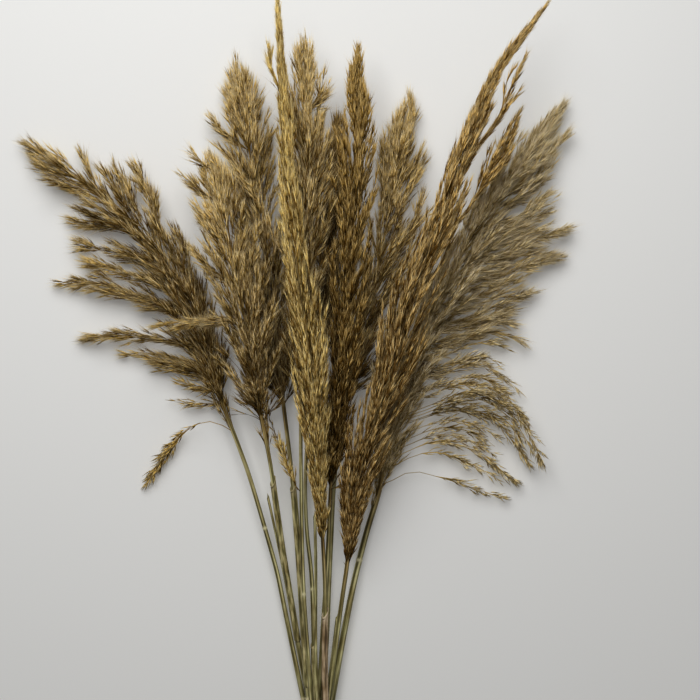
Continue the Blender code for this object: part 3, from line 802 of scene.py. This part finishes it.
SPRIG_HABITS = {
    "left_behind_pale_sprig": replace(SPRIG, branches=260, reach=1.0, tone=0.66),
    "far_left_hanging_sprig": replace(LOOSE, bare=0.0, branches=130, branchlets=300, clear=0.52),
    "far_left_last_sprig": replace(WISPY, branches=150, reach=1.2),
    "far_left_short_sprig": replace(WISPY, branches=90),
    "middle_left_golden_sprig": replace(WISPY, branchlets=330, reach=1.0, clear=0.10, tone=0.80),
    "middle_left_top_sprig": replace(PALE_SPRIG, branches=330, reach=1.4, beyond=0.003, tone=0.75),
    "front_side_strand": replace(STRAND, branches=200, reach=1.4, husk_width=0.0006, tone=0.72),
    "right_front_lower_strand": replace(STRAND, branches=190, branch_length=0.08, reach=1.8, tone=0.50),
    "right_front_upper_strand": replace(STRAND, branches=190, branch_length=0.08, reach=2.2, tone=0.56),
    "far_right_top_sprig": PALE_SPRIG,
    "far_right_ninth_sprig": PALE_SPRIG,
    "far_right_eighth_sprig": PALE_SPRIG,
    "far_right_seventh_sprig": PALE_SPRIG,
    "far_right_lowest_sprig": replace(LOOSE, clear=0.50, hairs=0, branchlet_length=0.009),
    "far_right_second_sprig": FINE_LOOSE,
    "far_right_third_sprig": FINE_LOOSE,
    "far_right_arched_sprig": replace(WISPY, branches=80, clear=0.20, hairs=1),
    "far_right_fourth_sprig": WISPY,
    "far_right_fifth_sprig": PALE_SPRIG,
    "far_right_sixth_sprig": PALE_SPRIG,
}
FILLED = {                     # gaps between side branches of a plume, and where in them finer tufts grow
    "far_left": [("upper", "long", SPRIG, (0.35, 0.70)), ("long", "lower", SPRIG, (0.2,)),
                 ("lower", "low", SPRIG, (0.75,)), ("low", "short", WISPY, (0.4, 0.8))],
    "far_right": [("top", "ninth", PALE_SPRIG, (0.4, 0.8)),
                  ("ninth", "eighth", PALE_SPRIG, (0.25, 0.5, 0.75)),
                  ("eighth", "seventh", PALE_SPRIG, (0.25, 0.5, 0.75)),
                  ("seventh", "sixth", PALE_SPRIG, (0.35, 0.70)),
                  ("sixth", "fifth", PALE_SPRIG, (0.35, 0.70)), ("fifth", "fourth", WISPY, (0.35, 0.70)),
                  ("fourth", "arched", WISPY, (0.35, 0.70)), ("arched", "third", LOOSE, (0.3, 0.6, 0.85)),
                  ("third", "second", LOOSE, (0.25, 0.5, 0.75)), ("second", "lowest", LOOSE, (0.3,))],
}
GOLDEN_NAMES = ("front", "front_side_strand", "middle_left_golden_sprig")
STALK_SEED = 100              # seeds of the random draws: of the first stalk, and of the filled gaps
FILLING_SEED = 5000


def colouring_of(name):
    """Which colouring a plume or sprig takes, with a slot name."""
    if name == "middle":
        return "brown", "plume_golden"
    if name in GOLDEN_NAMES:
        return "golden", "plume_golden"
    if name.startswith("right_front"):
        return "red_brown", "plume_red_brown"
    if name == "middle_back":
        return "brown", "plume_olive"
    if name.startswith("far_right"):
        return "silver", "plume_olive"
    return "olive", "plume_olive"


def owner_of(node):
    """The stalk that a side branch belongs to: the longest stalk name that its name starts with."""
    return max((name for name in STALKS if node.startswith(name + "_")), key=len)


def build_plume(name, line, neck, seed, materials):
    """Grow one plume, with the stray strands at its neck if it has any, and make its three pieces."""
    rng = np.random.default_rng(seed)
    stems, husks, hairs = Strands(), Strands(), Strands()
    grow(line, STALKS[name], rng, stems, husks, hairs)
    if neck:
        grow(neck, NECK, rng, stems, husks, hairs)
    colouring, slot = colouring_of(name)
    for part, strands in (("branches", stems), ("spikelets", husks), ("hairs", hairs)):
        strands.piece(f"plume_{name}_{part}", materials[colouring], [f"plume_{name}"], slot)


def build_sprig(node, line, habit, seed, materials):
    """Grow one side branch and make its piece."""
    rng = np.random.default_rng(seed)
    strands = Strands()
    grow(line, habit, rng, strands, strands, strands, has_axis=True)
    colouring, slot = colouring_of(node)
    strands.piece(f"{node}_tuft", materials[colouring], [node], slot)


def between(first, second, share, rng):
    """A line between two sprigs' lines, ending a little short of them."""
    steps = np.linspace(0, rng.uniform(0.72, 0.92), 12)
    rows = []
    for line, part in ((first, 1 - share), (second, share)):
        places = steps * line.length
        row = np.column_stack([line.sample(line.points, places), line.sample(line.widths, places),
                               line.sample(line.heights, places)])
        rows.append(part * row)
    return Line(rows[0] + rows[1])


def fill_gap(first, second, habit, shares, rng, strands):
    """Grow more tufts in the gap between two neighbouring side branches, at these shares of it."""
    for share in shares:
        line = between(first, second, share + rng.uniform(-0.08, 0.08), rng)
        grow(line, habit, rng, strands, strands, strands, has_axis=True)


def neck_line(culm, neck_place):
    """A short line round the top of a culm, for the stray strands there."""
    places = neck_place + np.linspace(*NECK_SPAN, 8)
    middle = culm.sample(culm.points, places)
    widths = np.linspace(*NECK_WIDTHS, len(places))
    return Line(np.column_stack([middle, widths, NECK_FLATNESS * widths]))


def build_stalk(owner, seed, materials):
    """One stalk: its culm, sheath, plume and side branches."""
    culm_rows = culm_line(f"culm_{owner}")
    plume_rows = plume_line(f"plume_{owner}", culm_rows)
    plume = Line(plume_rows)
    culm = build_culm(f"culm_{owner}", culm_rows, materials["culm"], plume_rows)
    if f"sheath_{owner}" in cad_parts:
        paper = materials["pink_sheath" if owner == "front" else "sheath"]
        build_sheath(f"sheath_{owner}", culm, culm_rows, paper)
    neck = neck_line(culm, culm.length - plume.length) if owner in LOOSE_NECKS else None
    build_plume(owner, plume, neck, seed, materials)
    sprigs = {}
    for number, node in enumerate(sorted(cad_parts)):
        if node.endswith(("sprig", "strand")) and owner_of(node) == owner:
            sprigs[node] = sprig_line(node, owner, plume, culm_rows)
            build_sprig(node, sprigs[node], SPRIG_HABITS.get(node, SPRIG), 10 * seed + number, materials)
    if owner in FILLED:
        rng = np.random.default_rng(FILLING_SEED + seed)
        strands = Strands()
        for first, second, habit, shares in FILLED[owner]:
            ends = sprigs[f"{owner}_{first}_sprig"], sprigs[f"{owner}_{second}_sprig"]
            fill_gap(*ends, habit, shares, rng, strands)
        colouring, slot = colouring_of(owner)
        strands.piece(f"plume_{owner}_inner_tufts", materials[colouring], [f"plume_{owner}"], slot)


def build_bundle(materials):
    """Every culm, plume, sprig and sheath of the frame."""
    for index, owner in enumerate(STALKS):
        build_stalk(owner, STALK_SEED + index, materials)
    for node in sorted(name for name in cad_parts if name.startswith("broken_culm")):
        build_culm(node, culm_line(node), materials["culm"])


# ---------------------------------------------------------------- setting

VIEW_FROM_LEFT = 0.3007       # where the camera stands, from the bundle's left end and its top end
VIEW_FROM_TOP = 0.3106
CAMERA_HEIGHT = 1.35
VIEW_WIDTH = 0.639            # width of the view, measured at VIEW_LEVEL above the floor
VIEW_LEVEL = 0.05
SENSOR_WIDTH = 36             # millimetres
FLOOR_SIZE = 30
FLOOR_COLOUR = (0.66, 0.66, 0.65, 1)
FLOOR_GLOW = 0.15             # a faint light of the floor's own, which keeps its shadows soft
KEY_LIGHT_PLACE = (-0.13, 0.82, 1.15)
KEY_LIGHT_SIZE = 1.20
KEY_LIGHT_POWER = 19.8
LIGHT_AIM = (0, 0, 0.03)
SKY_COLOUR = (1.0, 0.975, 0.94, 1)
SKY_STRENGTH = 0.16
VIEW_GAMMA = 0.81


def build_setting():
    """A pale floor, soft studio light and a camera that looks straight down."""
    build_floor()
    build_camera()
    add_softbox("key_light", KEY_LIGHT_PLACE, KEY_LIGHT_SIZE, KEY_LIGHT_POWER)
    world = bpy.data.worlds.new("studio")
    world.use_nodes = True
    world.node_tree.nodes["Background"].inputs["Color"].default_value = SKY_COLOUR
    world.node_tree.nodes["Background"].inputs["Strength"].default_value = SKY_STRENGTH
    bpy.context.scene.world = world
    bpy.context.scene.view_settings.view_transform = "Standard"
    bpy.context.scene.view_settings.gamma = VIEW_GAMMA


def build_floor():
    """A plain pale floor at Z = 0."""
    bpy.ops.mesh.primitive_plane_add(size=FLOOR_SIZE)
    floor = bpy.context.object
    floor.name = "floor"
    material, nodes, _ = new_material("pale_floor")
    shader = nodes["Principled BSDF"]
    shader.inputs["Base Color"].default_value = FLOOR_COLOUR
    shader.inputs["Emission Color"].default_value = (1.0, 1.0, 0.99, 1)
    shader.inputs["Emission Strength"].default_value = FLOOR_GLOW
    shader.inputs["Roughness"].default_value = 0.9
    floor.data.materials.append(material)


def build_camera():
    """A camera above the bundle."""
    camera = bpy.data.cameras.new("camera")
    camera.sensor_width = SENSOR_WIDTH
    camera.lens = SENSOR_WIDTH * (CAMERA_HEIGHT - VIEW_LEVEL) / VIEW_WIDTH
    eye = bpy.data.objects.new("camera", camera)
    eye.location = (cad_low[0] + VIEW_FROM_LEFT, cad_high[1] - VIEW_FROM_TOP, CAMERA_HEIGHT)
    bpy.context.scene.collection.objects.link(eye)
    bpy.context.scene.camera = eye


def add_softbox(name, place, size, power):
    """A square area light aimed at the middle of the bundle."""
    light = bpy.data.lights.new(name, "AREA")
    light.size = size
    light.energy = power
    lamp = bpy.data.objects.new(name, light)
    lamp.location = place
    lamp.visible_camera = False
    lamp.rotation_euler = (Vector(LIGHT_AIM) - Vector(place)).to_track_quat("-Z", "Y").to_euler()
    bpy.context.scene.collection.objects.link(lamp)


def main():
    """Make the materials, the setting and the bundle."""
    materials = {
        "olive": strand_material("olive_plume", OLIVE_DARK, OLIVE_PALE),
        "silver": strand_material("silver_olive_plume", SILVER_DARK, SILVER_PALE),
        "brown": strand_material("brown_strands", BROWN_DARK, BROWN_PALE),
        "golden": strand_material("golden_plume", GOLD_DARK, GOLD_PALE, roughness=0.55),
        "red_brown": strand_material("red_brown_plume", RED_DARK, RED_PALE, roughness=0.55),
        "culm": culm_material("ribbed_culm", *CULM_COLOURS),
        "sheath": culm_material("papery_sheath", *SHEATH_COLOURS),
        "pink_sheath": culm_material("pinkish_sheath", *PINK_COLOURS),
    }
    build_setting()
    build_bundle(materials)


main()
